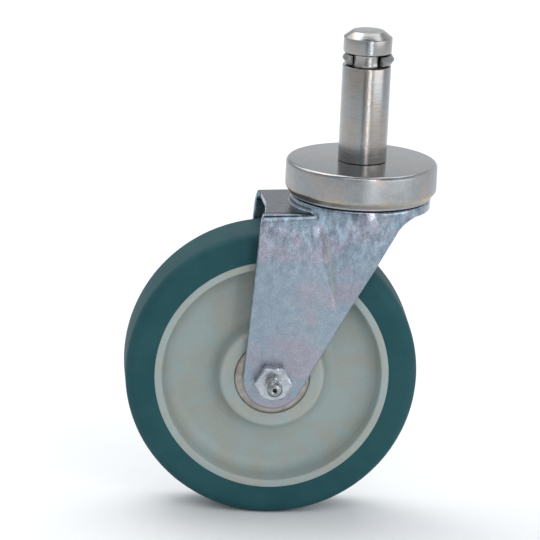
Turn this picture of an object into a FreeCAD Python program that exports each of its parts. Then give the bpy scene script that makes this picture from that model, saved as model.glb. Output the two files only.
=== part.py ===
import FreeCAD, Part
import math
import os
import re

import Sketcher

# Stem swivel caster: a 127 mm wheel in a pressed steel fork, under a swivel head with two rows of balls and a
# round stem that is pushed into a tubular post.
# Frame: the origin is where the stem's axis meets the top face of the cap. +Z runs up along the stem, the wheel
# trails towards -X and the axle lies along Y, with its greased head on the -Y side.

os.makedirs("parts", exist_ok=True)
doc = FreeCAD.newDocument("stem_swivel_caster")

# Driving sizes in millimetres, counts and degrees, by the piece that they belong to.
SIZES = [
    # Where the wheel stands under the swivel axis
    ("trail", 36.0),
    ("wheel_clearance", 6.86),
    # Stem
    ("stem_radius", 10.5),
    ("stem_length", 57.1),
    ("nose_bevel_across", 3.6),
    ("nose_bevel_along", 2.7),
    ("stem_edge", 0.4),
    ("nose_to_groove", 9.2),
    ("ring_groove_width", 5.8),
    ("ring_groove_floor", 8.3),
    ("ring_groove_round", 1.6),
    ("spigot_radius", 6.35),
    ("rivet_radius", 9.6),
    ("rivet_height", 2.4),
    ("rivet_round", 1.4),
    # Grip ring
    ("ring_inner_radius", 9.1),
    ("ring_crown_radius", 11.3),
    ("ring_height", 4.2),
    ("ring_flat", 0.7),
    ("ring_crown_round", 0.6),
    ("ring_gap_angle", 76.0),
    ("ring_shift", 0.5),
    # Cap
    ("cap_radius", 32.8),
    ("cap_sheet", 3.2),
    ("cap_edge_round", 1.7),
    ("cap_side_height", 12.0),
    ("cap_height", 15.2),
    ("cap_lip_radius", 30.8),
    ("cap_lip_height", 0.8),
    ("cap_lip_sheet", 2.2),
    ("cap_curl_round", 2.2),
    # Ball races
    ("main_ball_radius", 3.97),
    ("main_race_pitch", 22.4),
    ("lower_ball_radius", 2.38),
    ("lower_race_pitch", 13.6),
    ("race_depth", 0.9),
    ("lower_race_depth", 0.6),
    ("race_conformity", 1.06),
    ("ball_play", 0.1),
    ("ball_spacing", 0.35),
    ("lower_race_radius", 18.0),
    ("lower_race_sheet", 2.6),
    # Fork crown
    ("fork_sheet", 3.2),
    ("crown_radius", 27.0),
    ("crown_hole_radius", 8.2),
    ("crown_edge_round", 1.5),
    ("flange_radius", 30.5),
    ("flange_top", 15.6),
    ("flange_bottom", 20.0),
    ("flange_round", 1.1),
    # Fork hood and legs
    ("fork_half_gap", 20.4),
    ("hood_rear_top", 20.2),
    ("hood_front_top", 19.0),
    ("hood_rear_bend", 5.2),
    ("hood_front_bend", 2.4),
    ("hood_inner_bend", 2.0),
    ("hood_tight_bend", 0.6),
    ("hood_bend_change", 18.0),
    ("hood_rear", 42.4),
    ("hood_notch", 1.4),
    ("hood_notch_half_width", 19.5),
    ("leg_rear_top", 44.2),
    ("leg_rear_top_drop", 24.5),
    ("leg_end_radius", 12.9),
    ("throat_start", 14.6),
    ("throat_start_drop", 26.2),
    ("throat_radius", 12.5),
    ("flare_end_drop", 62.0),
    ("flare_end_shift", 5.0),
    # Axle bolt and nut
    ("bolt_radius", 4.76),
    ("bolt_hole_play", 0.14),
    ("hex_across_flats", 14.29),
    ("hex_head_height", 6.2),
    ("hex_face_bevel", 0.9),
    ("bolt_end_length", 10.4),
    ("bolt_end_bevel", 0.8),
    ("grease_bore_radius", 1.6),
    ("grease_cross_radius", 1.3),
    ("nut_hex_height", 6.8),
    ("nut_collar_radius", 6.3),
    ("nut_collar_height", 2.4),
    ("nut_collar_wall", 0.8),
    ("thread_play", 0.03),
    # Grease fitting
    ("fitting_shank_radius", 2.85),
    ("fitting_shank_length", 5.4),
    ("fitting_base_radius", 3.7),
    ("fitting_base_height", 1.4),
    ("fitting_neck_radius", 2.6),
    ("fitting_ring_radius", 3.05),
    ("fitting_ring_height", 0.55),
    ("fitting_ring_pitch", 1.15),
    ("fitting_head_radius", 3.4),
    ("fitting_tip_radius", 2.6),
    ("fitting_length", 9.1),
    ("fitting_head_length", 3.0),
    ("fitting_mouth_radius", 0.95),
    ("fitting_bore_radius", 1.45),
    ("fitting_mouth_depth", 1.0),
    ("check_ball_radius", 1.2),
    ("check_ball_travel", 0.8),
    ("spring_wire", 0.24),
    ("spring_radius", 1.05),
    ("spring_turns", 6),
    # Wheel bearing
    ("bushing_radius", 7.94),
    ("roller_radius", 1.5),
    ("roller_play", 0.085),
    ("roller_half_length", 15.0),
    ("roller_count", 12),
    ("cage_wall", 1.7),
    ("cage_rim", 1.9),
    ("cage_window_play", 0.15),
    ("sleeve_wall", 3.17),
    ("sleeve_half_length", 17.4),
    ("washer_sheet", 1.0),
    ("washer_radius", 14.9),
    ("washer_play", 0.1),
    ("bushing_play", 0.3),
    ("dust_cap_radius", 16.4),
    ("dust_cap_sheet", 1.0),
    ("dust_cap_skirt", 3.4),
    ("dust_cap_round", 0.8),
    ("seat_play", 0.02),
    # Wheel
    ("wheel_radius", 63.5),
    ("tread_half_width", 15.9),
    ("tread_shoulder", 5.0),
    ("tread_thickness", 12.5),
    ("rim_half_width", 16.0),
    ("rim_lip", 3.2),
    ("rim_foot_inset", 5.6),
    ("rim_foot_round", 7.0),
    ("web_half_thickness", 5.8),
    ("hub_radius", 22.6),
    ("hub_foot_radius", 24.6),
    ("hub_foot_round", 5.4),
    ("hub_edge_round", 2.2),
    ("hub_half_length", 18.6),
    ("rim_edge_round", 0.7),
    ("tread_key_height", 2.5),
    ("tread_key_half_width", 4.0),
]

sheet = doc.addObject("Spreadsheet::Sheet", "sizes")
for row, (alias, size) in enumerate(SIZES, start=1):
    sheet.set(f"A{row}", alias)
    sheet.set(f"B{row}", str(size))
    sheet.setAlias(f"B{row}", alias)
doc.recompute()
ALIASES = {alias for alias, size in SIZES}


def bound(formula):
    """Write a size formula as an expression on the sheet's cells."""
    return re.sub(r"[a-z_]\w*", lambda word: "sizes." + word[0] if word[0] in ALIASES else word[0], formula)


def number(formula):
    """Work a size formula out to a plain number."""
    return float(sheet.evalExpression(bound(formula)))


def bind(feature, path, formula):
    """Tie one property of a feature to a size formula."""
    feature.setExpression(path, bound(formula))


# Heights in the swivel head, from the cap's top face down.
MAIN_RACE_TOP = "(race_depth - cap_sheet)"
MAIN_BALL_HEIGHT = f"({MAIN_RACE_TOP} - ball_play - main_ball_radius)"
CROWN_TOP = f"({MAIN_BALL_HEIGHT} - main_ball_radius - ball_play + race_depth)"
CROWN_UNDERSIDE = f"({CROWN_TOP} - fork_sheet)"
LOWER_BALL_HEIGHT = f"({CROWN_UNDERSIDE} + lower_race_depth - ball_play - lower_ball_radius)"
LOWER_RACE_TOP = f"({LOWER_BALL_HEIGHT} - lower_ball_radius - ball_play + lower_race_depth)"
LOWER_RACE_BOTTOM = f"({LOWER_RACE_TOP} - lower_race_sheet)"

# How far the axle lies under the cap's top face: the hood, the gap over the wheel and the wheel's radius.
AXLE_HEIGHT = "(-(hood_rear_top + fork_sheet + wheel_clearance + wheel_radius))"

# The ring groove's two sides on the stem.
GROOVE_TOP = "(stem_length - nose_to_groove)"
GROOVE_LOW = f"({GROOVE_TOP} - ring_groove_width)"

# Distances along the axle from the wheel's middle plane.
FORK_HALF_WIDTH = "(fork_half_gap + fork_sheet)"
HEX_FACE = f"({FORK_HALF_WIDTH} + hex_head_height)"
NUT_HEX_FACE = f"({FORK_HALF_WIDTH} + nut_hex_height)"
NUT_FACE = f"({NUT_HEX_FACE} + nut_collar_height)"
WASHER_INNER = "(sleeve_half_length + washer_play)"
WASHER_OUTER = f"({WASHER_INNER} + washer_sheet)"
DUST_CAP_INNER = f"({WASHER_OUTER} + washer_play)"
DUST_CAP_OUTER = f"({DUST_CAP_INNER} + dust_cap_sheet)"
DUST_CAP_END = f"({DUST_CAP_INNER} - dust_cap_skirt)"
CAGE_HALF_LENGTH = "(roller_half_length + cage_window_play + cage_rim)"

# Radii round the axle.
RIM_RADIUS = "(wheel_radius - tread_thickness)"
RIM_FOOT_RADIUS = f"({RIM_RADIUS} - rim_foot_inset)"
SLEEVE_BORE = "(bushing_radius + 2 * roller_radius + 2 * roller_play)"
SLEEVE_RADIUS = f"({SLEEVE_BORE} + sleeve_wall)"
ROLLER_PITCH = "(bushing_radius + roller_play + roller_radius)"
HEX_CORNER = "(hex_across_flats / sqrt(3))"
FITTING_TIP = f"({HEX_FACE} + fitting_length)"


def origin_plane(body, role):
    """Give one of a body's own origin planes or axes by its role."""
    for feature in body.Origin.OriginFeatures:
        if feature.Role == role:
            return feature
    raise ValueError(role)


def new_body(label):
    body = doc.addObject("PartDesign::Body", label)
    body.Label = label
    return body


def new_sketch(body, name, role, offset=None):
    """Make a sketch on one of the body's origin planes, moved off it by a formula where one is given."""
    sketch = body.newObject("Sketcher::SketchObject", name)
    sketch.AttachmentSupport = [(origin_plane(body, role), "")]
    sketch.MapMode = "FlatFace"
    if offset:
        bind(sketch, "AttachmentOffset.Base.z", offset)
    return sketch


def hold(sketch, geometry, end, direction, formula):
    """Hold one end of a sketch line at a formula's distance from the sketch's origin."""
    if formula == "0":
        axis = -2 if direction == "DistanceX" else -1
        sketch.addConstraint(Sketcher.Constraint("PointOnObject", geometry, end, axis))
        return
    constraint = Sketcher.Constraint(direction, -1, 1, geometry, end, number(formula))
    index = sketch.addConstraint(constraint)
    bind(sketch, f"Constraints[{index}]", formula)


def draw_outline(sketch, corners):
    """Draw a closed outline of straight lines, with each corner held by its pair of formulas."""
    points = [FreeCAD.Vector(number(across), number(along), 0) for across, along in corners]
    count = len(points)
    first = sketch.GeometryCount
    sketch.addGeometry([Part.LineSegment(points[i], points[(i + 1) % count]) for i in range(count)], False)
    sketch.addConstraint([
        Sketcher.Constraint("Coincident", first + i, 2, first + (i + 1) % count, 1) for i in range(count)
    ])
    for i, (across, along) in enumerate(corners):
        hold(sketch, first + i, 1, "DistanceX", across)
        hold(sketch, first + i, 1, "DistanceY", along)


def draw_circle(sketch, across, along, radius):
    """Draw a circle whose centre and radius follow formulas."""
    centre = FreeCAD.Vector(number(across), number(along), 0)
    circle = sketch.addGeometry(Part.Circle(centre, FreeCAD.Vector(0, 0, 1), number(radius)), False)
    hold(sketch, circle, 3, "DistanceX", across)
    hold(sketch, circle, 3, "DistanceY", along)
    index = sketch.addConstraint(Sketcher.Constraint("Radius", circle, number(radius)))
    bind(sketch, f"Constraints[{index}]", radius)


def revolve(body, name, corners):
    """Turn an outline of (radius, height) formulas round the body's Z axis into a solid."""
    sketch = new_sketch(body, name + "_section", "XZ_Plane")
    draw_outline(sketch, corners)
    feature = body.newObject("PartDesign::Revolution", name)
    feature.Profile = sketch
    feature.ReferenceAxis = (sketch, ["V_Axis"])
    feature.Angle = 360
    doc.recompute()
    return feature


def check_cut(body, before):
    """Stop where a cut has taken nothing away."""
    if body.Shape.Volume >= before - 1e-6:
        raise ValueError(body.Label + ": a cut took nothing away")


def groove(body, name, corners):
    """Cut a turned groove of (radius, height) formulas out of the body."""
    before = body.Shape.Volume
    sketch = new_sketch(body, name + "_section", "XZ_Plane")
    draw_outline(sketch, corners)
    feature = body.newObject("PartDesign::Groove", name)
    feature.Profile = sketch
    feature.ReferenceAxis = (sketch, ["V_Axis"])
    feature.Angle = 360
    doc.recompute()
    check_cut(body, before)
    return feature


def ball_groove(body, name, pitch, height, ball_radius):
    """Cut the round ring groove that a row of balls runs in."""
    before = body.Shape.Volume
    sketch = new_sketch(body, name + "_section", "XZ_Plane")
    draw_circle(sketch, pitch, height, f"{ball_radius} * race_conformity")
    feature = body.newObject("PartDesign::Groove", name)
    feature.Profile = sketch
    feature.ReferenceAxis = (sketch, ["V_Axis"])
    feature.Angle = 360
    doc.recompute()
    check_cut(body, before)
    return feature


def ring_edges(shape, radius, height):
    """Name the round edges about the Z axis that have this radius and height."""
    names = []
    for i, edge in enumerate(shape.Edges, start=1):
        curve = edge.Curve
        if not isinstance(curve, Part.Circle):
            continue
        on_axis = math.hypot(curve.Center.x, curve.Center.y) < 1e-4
        if on_axis and abs(curve.Radius - radius) < 1e-4 and abs(curve.Center.z - height) < 1e-4:
            names.append(f"Edge{i}")
    return names


def round_rings(body, name, rings, radius):
    """Round the turned edges at the given (radius, height) formulas."""
    base = body.Tip
    local = base.Shape
    edges = []
    for ring_radius, height in rings:
        found = ring_edges(local, number(ring_radius), number(height))
        if not found:
            raise ValueError(f"{body.Label}: no edge at {ring_radius}, {height}")
        edges += found
    feature = body.newObject("PartDesign::Fillet", name)
    feature.Base = (base, edges)
    bind(feature, "Radius", radius)
    doc.recompute()
    return feature


def lay_on_axle(body, side):
    """Put a turned body on the axle, its +Z towards the near side (-Y) or the far side (+Y)."""
    tilt = 90 if side == "near" else -90
    place = FreeCAD.Placement(FreeCAD.Vector(), FreeCAD.Rotation(FreeCAD.Vector(1, 0, 0), tilt))
    body.Placement = place
    bind(body, "Placement.Base.x", "-trail")
    bind(body, "Placement.Base.z", AXLE_HEIGHT)


def cross_hole(body, name, radius, reach):
    """Drill a hole across the body at its origin, along its X axis."""
    before = body.Shape.Volume
    sketch = new_sketch(body, name + "_section", "YZ_Plane")
    draw_circle(sketch, "0", "0", radius)
    feature = body.newObject("PartDesign::Pocket", name)
    feature.Profile = sketch
    feature.Midplane = True
    bind(feature, "Length", f"2 * {reach}")
    doc.recompute()
    check_cut(body, before)


# Head: stem, grip ring, cap and lower race

def make_stem():
    """The stem is one turned bar: nose, ring groove, shank and a spigot peened over under the lower race."""
    body = new_body("stem")
    revolve(body, "stem_bar", [
        ("0", "stem_length"),
        ("stem_radius - nose_bevel_across", "stem_length"),
        ("stem_radius", "stem_length - nose_bevel_along"),
        ("stem_radius", GROOVE_TOP),
        ("ring_groove_floor", GROOVE_TOP),
        ("ring_groove_floor", GROOVE_LOW),
        ("stem_radius", GROOVE_LOW),
        ("stem_radius", "0"),
        ("spigot_radius", "0"),
        ("spigot_radius", LOWER_RACE_BOTTOM),
        ("rivet_radius", LOWER_RACE_BOTTOM),
        ("rivet_radius", f"{LOWER_RACE_BOTTOM} - rivet_height"),
        ("0", f"{LOWER_RACE_BOTTOM} - rivet_height"),
    ])
    floor = [("ring_groove_floor", GROOVE_TOP), ("ring_groove_floor", GROOVE_LOW)]
    round_rings(body, "stem_waist", floor, "ring_groove_round")
    round_rings(body, "stem_edges", [
        ("stem_radius", GROOVE_TOP),
        ("stem_radius", GROOVE_LOW),
        ("stem_radius - nose_bevel_across", "stem_length"),
    ], "stem_edge")
    rivet_edge = [("rivet_radius", f"{LOWER_RACE_BOTTOM} - rivet_height")]
    round_rings(body, "stem_rivet_round", rivet_edge, "rivet_round")


def make_grip_ring():
    """The split spring ring lies loose in its groove, with a crowned outside and its gap towards -Y."""
    body = new_body("grip_ring")
    middle = f"({GROOVE_LOW} + ring_groove_width / 2)"
    revolve(body, "ring_band", [
        ("ring_inner_radius", f"{middle} - ring_height / 2"),
        ("ring_inner_radius + ring_flat", f"{middle} - ring_height / 2"),
        ("ring_crown_radius", middle),
        ("ring_inner_radius + ring_flat", f"{middle} + ring_height / 2"),
        ("ring_inner_radius", f"{middle} + ring_height / 2"),
    ])
    round_rings(body, "ring_crown", [("ring_crown_radius", middle)], "ring_crown_round")
    before = body.Shape.Volume
    sketch = new_sketch(body, "ring_gap_section", "XY_Plane")
    reach = "(2 * ring_crown_radius)"
    half_width = f"({reach} * tan(ring_gap_angle * 0.5 * 1deg))"
    draw_outline(sketch, [("0", "0"), (f"-{half_width}", f"-{reach}"), (half_width, f"-{reach}")])
    gap = body.newObject("PartDesign::Pocket", "ring_gap")
    gap.Profile = sketch
    gap.Midplane = True
    bind(gap, "Length", "4 * stem_length")
    doc.recompute()
    check_cut(body, before)
    bind(body, "Placement.Base.x", "ring_shift")


def make_top_cap():
    """The cap is pressed from sheet: a flat top with the upper race under it and a skirt curled in below."""
    body = new_body("top_cap")
    curl_height = "(cap_lip_height - cap_height)"
    inner_radius = "(cap_radius - cap_sheet)"
    lip_inner = "(cap_lip_radius - cap_lip_sheet)"
    revolve(body, "cap_shell", [
        ("spigot_radius + seat_play", "0"),
        ("cap_radius", "0"),
        ("cap_radius", "-cap_side_height"),
        ("cap_lip_radius", curl_height),
        ("cap_lip_radius", "-cap_height"),
        (lip_inner, "-cap_height"),
        (lip_inner, curl_height),
        (inner_radius, "-cap_side_height"),
        (inner_radius, "-cap_sheet"),
        ("spigot_radius + seat_play", "-cap_sheet"),
    ])
    ball_groove(body, "cap_race", "main_race_pitch", MAIN_BALL_HEIGHT, "main_ball_radius")
    round_rings(body, "cap_edge", [("cap_radius", "0")], "cap_edge_round")
    round_rings(body, "cap_curl", [("cap_radius", "-cap_side_height")], "cap_curl_round")


def make_lower_race():
    """The lower race is a hard washer held up by the peened end of the stem."""
    body = new_body("lower_race")
    revolve(body, "race_plate", [
        ("spigot_radius + seat_play", LOWER_RACE_TOP),
        ("lower_race_radius", LOWER_RACE_TOP),
        ("lower_race_radius", LOWER_RACE_BOTTOM),
        ("spigot_radius + seat_play", LOWER_RACE_BOTTOM),
    ])
    ball_groove(body, "race_groove", "lower_race_pitch", LOWER_BALL_HEIGHT, "lower_ball_radius")
    round_rings(body, "race_edge", [("lower_race_radius", LOWER_RACE_BOTTOM)], "stem_edge")


def make_ball_row(label, ball_radius, pitch, height):
    """A full row of loose balls, as many as the race holds with a little space between them."""
    half_space = number(f"{ball_radius} + ball_spacing / 2")
    count = int(math.pi / math.asin(half_space / number(pitch)))
    balls = []
    for i in range(count):
        ball = doc.addObject("Part::Sphere", f"{label}_{i + 1}")
        bind(ball, "Radius", ball_radius)
        turn = f"{i} * 360deg / {count}"
        bind(ball, "Placement.Base.x", f"{pitch} * cos({turn})")
        bind(ball, "Placement.Base.y", f"{pitch} * sin({turn})")
        bind(ball, "Placement.Base.z", height)
        balls.append(ball)
    group = doc.addObject("Part::Compound", label)
    group.Label = label
    group.Links = balls
    doc.recompute()


# Fork

def make_crown():
    """The fork's round crown: a raised race plate inside the cap and the flange that shows below it."""
    body = new_body("fork_crown")
    flange_inner = "(flange_radius - fork_sheet)"
    hollow = "(crown_radius - fork_sheet)"
    step = "-(flange_top + fork_sheet)"
    revolve(body, "crown_shell", [
        ("crown_hole_radius", CROWN_TOP),
        ("crown_radius", CROWN_TOP),
        ("crown_radius", "-flange_top"),
        ("flange_radius", "-flange_top"),
        ("flange_radius", "-flange_bottom"),
        (flange_inner, "-flange_bottom"),
        (flange_inner, step),
        (hollow, step),
        (hollow, CROWN_UNDERSIDE),
        ("crown_hole_radius", CROWN_UNDERSIDE),
    ])
    ball_groove(body, "crown_upper_race", "main_race_pitch", MAIN_BALL_HEIGHT, "main_ball_radius")
    ball_groove(body, "crown_lower_race", "lower_race_pitch", LOWER_BALL_HEIGHT, "lower_ball_radius")
    round_rings(body, "crown_edge", [("crown_radius", CROWN_TOP)], "crown_edge_round")
    round_rings(body, "flange_shoulder", [("flange_radius", "-flange_top")], "flange_round")
    return body


def draw_arch(sketch, half_width, top, bend):
    """Draw an upside-down U section: two sides, two bends and a flat top, closed across the bottom."""
    width = number(half_width)
    high = number(top)
    radius = number(bend)
    bottom = f"({AXLE_HEIGHT} - 2 * leg_end_radius)"
    low = number(bottom)
    normal = FreeCAD.Vector(0, 0, 1)
    left = Part.Circle(FreeCAD.Vector(radius - width, high - radius, 0), normal, radius)
    right = Part.Circle(FreeCAD.Vector(width - radius, high - radius, 0), normal, radius)
    sketch.addGeometry([
        Part.LineSegment(FreeCAD.Vector(-width, low, 0), FreeCAD.Vector(-width, high - radius, 0)),
        Part.ArcOfCircle(left, math.pi / 2, math.pi),
        Part.LineSegment(FreeCAD.Vector(radius - width, high, 0), FreeCAD.Vector(width - radius, high, 0)),
        Part.ArcOfCircle(right, 0, math.pi / 2),
        Part.LineSegment(FreeCAD.Vector(width, high - radius, 0), FreeCAD.Vector(width, low, 0)),
        Part.LineSegment(FreeCAD.Vector(width, low, 0), FreeCAD.Vector(-width, low, 0)),
    ], False)
    sketch.addConstraint([
        Sketcher.Constraint("Tangent", 0, 2, 1, 2),
        Sketcher.Constraint("Tangent", 1, 1, 2, 1),
        Sketcher.Constraint("Tangent", 2, 2, 3, 2),
        Sketcher.Constraint("Tangent", 3, 1, 4, 1),
        Sketcher.Constraint("Coincident", 4, 2, 5, 1),
        Sketcher.Constraint("Coincident", 5, 2, 0, 1),
        Sketcher.Constraint("Horizontal", 2),
        Sketcher.Constraint("Equal", 1, 3),
    ])
    hold(sketch, 0, 1, "DistanceX", f"-{half_width}")
    hold(sketch, 0, 1, "DistanceY", bottom)
    hold(sketch, 4, 2, "DistanceX", half_width)
    hold(sketch, 4, 2, "DistanceY", bottom)
    hold(sketch, 2, 1, "DistanceY", top)
    index = sketch.addConstraint(Sketcher.Constraint("Radius", 1, radius))
    bind(sketch, f"Constraints[{index}]", bend)


def make_arch(label, half_width, drop, rear_bend, front_bend):
    """The hood and legs as one arched block: the bends grow tighter from the rear to the crown."""
    body = new_body(label)
    sections = [
        ("-(leg_rear_top + leg_end_radius)", f"-(hood_rear_top + {drop})", rear_bend),
        ("-hood_bend_change", f"-(hood_front_top + {drop})", front_bend),
        ("crown_hole_radius", f"-(hood_front_top + {drop})", front_bend),
    ]
    sketches = []
    for i, (offset, top, bend) in enumerate(sections):
        sketch = new_sketch(body, f"{label}_section_{i + 1}", "YZ_Plane", offset)
        draw_arch(sketch, half_width, top, bend)
        sketches.append(sketch)
    loft = body.newObject("PartDesign::AdditiveLoft", label + "_loft")
    loft.Profile = sketches[0]
    loft.Sections = sketches[1:]
    loft.Ruled = True
    doc.recompute()
    return body


def make_flare(label, inset):
    """A slanted cone that spreads from the legs' width up to the round flange."""
    rings = []
    for name, radius, across, height in [
        ("top", f"flange_radius - {inset}", "0", "-flange_bottom"),
        ("foot", f"{FORK_HALF_WIDTH} - {inset}", "-flare_end_shift", "-flare_end_drop"),
    ]:
        ring = doc.addObject("Part::Circle", f"{label}_{name}")
        bind(ring, "Radius", radius)
        bind(ring, "Placement.Base.x", across)
        bind(ring, "Placement.Base.z", height)
        rings.append(ring)
    loft = doc.addObject("Part::Loft", label)
    loft.Sections = rings
    loft.Solid = True
    loft.Ruled = True
    doc.recompute()
    return loft


def tangent_point(corner, centre, radius, side):
    """Where a line from a corner touches a circle, on its left (+1) or right (-1) seen from the corner."""
    apart = centre - corner
    turn = math.atan2(apart.y, apart.x) + side * math.asin(radius / apart.Length)
    reach = math.sqrt(apart.Length ** 2 - radius ** 2)
    return corner + FreeCAD.Vector(math.cos(turn), math.sin(turn), 0) * reach


def make_leg_outline():
    """The legs' side outline, cut through the arched block: slanted edges down to a round end at the axle."""
    body = new_body("leg_outline")
    sketch = new_sketch(body, "leg_outline_section", "XZ_Plane")
    axle = FreeCAD.Vector(number("-trail"), number(AXLE_HEIGHT), 0)
    end_radius = number("leg_end_radius")
    throat_radius = number("throat_radius")
    rear = FreeCAD.Vector(number("-leg_rear_top"), number("-leg_rear_top_drop"), 0)
    hood = FreeCAD.Vector(number("-hood_rear"), number("-flange_top"), 0)
    throat = FreeCAD.Vector(number("throat_start"), number("-throat_start_drop"), 0)
    rear_touch = tangent_point(rear, axle, end_radius, -1)
    front_touch = tangent_point(throat, axle, end_radius, 1)
    run = throat - front_touch
    heading = math.atan2(run.y, run.x)
    bend_centre = throat + FreeCAD.Vector(math.sin(heading), -math.cos(heading), 0) * throat_radius
    bend_top = bend_centre + FreeCAD.Vector(0, throat_radius, 0)
    under_flange = FreeCAD.Vector(number("flange_radius"), bend_top.y, 0)
    normal = FreeCAD.Vector(0, 0, 1)
    end_circle = Part.Circle(axle, normal, end_radius)
    bend_circle = Part.Circle(bend_centre, normal, throat_radius)
    start = math.atan2(rear_touch.y - axle.y, rear_touch.x - axle.x) % (2 * math.pi)
    stop = math.atan2(front_touch.y - axle.y, front_touch.x - axle.x) % (2 * math.pi)
    if stop < start:
        stop += 2 * math.pi
    top_front = FreeCAD.Vector(under_flange.x, hood.y, 0)
    sketch.addGeometry([
        Part.LineSegment(hood, rear),
        Part.LineSegment(rear, rear_touch),
        Part.ArcOfCircle(end_circle, start, stop),
        Part.LineSegment(front_touch, throat),
        Part.ArcOfCircle(bend_circle, math.pi / 2, math.pi / 2 + heading),
        Part.LineSegment(bend_top, under_flange),
        Part.LineSegment(under_flange, top_front),
        Part.LineSegment(top_front, hood),
    ], False)
    sketch.addConstraint([
        Sketcher.Constraint("Coincident", 0, 2, 1, 1),
        Sketcher.Constraint("Tangent", 1, 2, 2, 1),
        Sketcher.Constraint("Tangent", 2, 2, 3, 1),
        Sketcher.Constraint("Tangent", 3, 2, 4, 2),
        Sketcher.Constraint("Tangent", 4, 1, 5, 1),
        Sketcher.Constraint("Coincident", 5, 2, 6, 1),
        Sketcher.Constraint("Coincident", 6, 2, 7, 1),
        Sketcher.Constraint("Coincident", 7, 2, 0, 1),
        Sketcher.Constraint("Horizontal", 5),
        Sketcher.Constraint("Vertical", 6),
    ])
    hold(sketch, 0, 1, "DistanceX", "-hood_rear")
    hold(sketch, 0, 1, "DistanceY", "-flange_top")
    hold(sketch, 5, 2, "DistanceX", "flange_radius")
    hold(sketch, 6, 2, "DistanceY", "-flange_top")
    hold(sketch, 1, 1, "DistanceX", "-leg_rear_top")
    hold(sketch, 1, 1, "DistanceY", "-leg_rear_top_drop")
    hold(sketch, 2, 3, "DistanceX", "-trail")
    hold(sketch, 2, 3, "DistanceY", AXLE_HEIGHT)
    hold(sketch, 3, 2, "DistanceX", "throat_start")
    hold(sketch, 3, 2, "DistanceY", "-throat_start_drop")
    for arc, radius in [(2, "leg_end_radius"), (4, "throat_radius")]:
        index = sketch.addConstraint(Sketcher.Constraint("Radius", arc, number(radius)))
        bind(sketch, f"Constraints[{index}]", radius)
    pad = body.newObject("PartDesign::Pad", "leg_outline_pad")
    pad.Profile = sketch
    pad.Midplane = True
    bind(pad, "Length", "3 * flange_radius")
    doc.recompute()
    return body


def make_hood_notch():
    """The wedge that leaves the hood's rear edge as a shallow V."""
    body = new_body("hood_notch_tool")
    sketch = new_sketch(body, "hood_notch_section", "XY_Plane", "-(hood_rear_top + 2 * fork_sheet)")
    back = "-(hood_rear + leg_end_radius)"
    draw_outline(sketch, [
        (back, "hood_notch_half_width"),
        ("-hood_rear", "hood_notch_half_width"),
        ("hood_notch - hood_rear", "0"),
        ("-hood_rear", "-hood_notch_half_width"),
        (back, "-hood_notch_half_width"),
    ])
    pad = body.newObject("PartDesign::Pad", "hood_notch_pad")
    pad.Profile = sketch
    bind(pad, "Length", "4 * fork_sheet")
    doc.recompute()
    return body


def boolean(kind, name, base, tool):
    """Cut, common or fuse two objects of the document."""
    feature = doc.addObject("Part::" + kind, name)
    feature.Base = base
    feature.Tool = tool
    doc.recompute()
    return feature


def join(name, shapes):
    feature = doc.addObject("Part::MultiFuse", name)
    feature.Shapes = shapes
    doc.recompute()
    return feature


def make_fork():
    """The fork is one pressed sheet: crown, hood and two legs that flare out to the round flange."""
    crown = make_crown()
    outline = make_leg_outline()
    arch = make_arch("arch_outside", FORK_HALF_WIDTH, "0", "hood_rear_bend", "hood_front_bend")
    flare = make_flare("flare_outside", "0")
    outside = join("fork_outside", [
        boolean("Common", "arch_trimmed", arch, outline),
        boolean("Common", "flare_trimmed", flare, outline),
    ])
    inside = join("fork_inside", [
        make_arch("arch_inside", "fork_half_gap", "fork_sheet", "hood_inner_bend", "hood_tight_bend"),
        make_flare("flare_inside", "fork_sheet"),
    ])
    shell = boolean("Cut", "fork_shell", outside, inside)
    notched = boolean("Cut", "fork_notched", shell, make_hood_notch())
    hollow = new_body("crown_hollow")
    step = "-(flange_top + fork_sheet)"
    revolve(hollow, "crown_hollow_turned", [
        ("0", CROWN_UNDERSIDE),
        ("crown_radius - fork_sheet", CROWN_UNDERSIDE),
        ("crown_radius - fork_sheet", step),
        ("flange_radius - fork_sheet", step),
        ("flange_radius - fork_sheet", "-flange_bottom"),
        ("0", "-flange_bottom"),
    ])
    opened = boolean("Cut", "fork_opened", notched, hollow)
    whole = join("fork_whole", [crown, opened])
    whole.Refine = True
    hole = doc.addObject("Part::Cylinder", "axle_holes")
    hole.Placement = FreeCAD.Placement(FreeCAD.Vector(), FreeCAD.Rotation(FreeCAD.Vector(1, 0, 0), 90))
    bind(hole, "Radius", "bolt_radius + bolt_hole_play")
    bind(hole, "Height", f"4 * {FORK_HALF_WIDTH}")
    bind(hole, "Placement.Base.x", "-trail")
    bind(hole, "Placement.Base.y", f"2 * {FORK_HALF_WIDTH}")
    bind(hole, "Placement.Base.z", AXLE_HEIGHT)
    fork = boolean("Cut", "fork", whole, hole)
    fork.Label = "fork"


# Axle: bolt, nut, bushing and grease fitting

def bevel_hex(body, name, face, height):
    """Turn the corners off a hexagon's outer face, which leaves a round face."""
    groove(body, name, [
        ("hex_across_flats / 2 - hex_face_bevel / 2", face),
        (f"{HEX_CORNER} + hex_face_bevel", face),
        (f"{HEX_CORNER} + hex_face_bevel", f"{face} - {height}"),
    ])


def add_hexagon(body, name, low, height):
    """Add a hexagonal prism across the axis, with flats at the top and bottom."""
    prism = body.newObject("PartDesign::AdditivePrism", name)
    prism.AttachmentSupport = [(origin_plane(body, "XY_Plane"), "")]
    prism.MapMode = "FlatFace"
    prism.Polygon = 6
    bind(prism, "Circumradius", HEX_CORNER)
    bind(prism, "Height", height)
    bind(prism, "AttachmentOffset.Base.z", low)
    doc.recompute()


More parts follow.
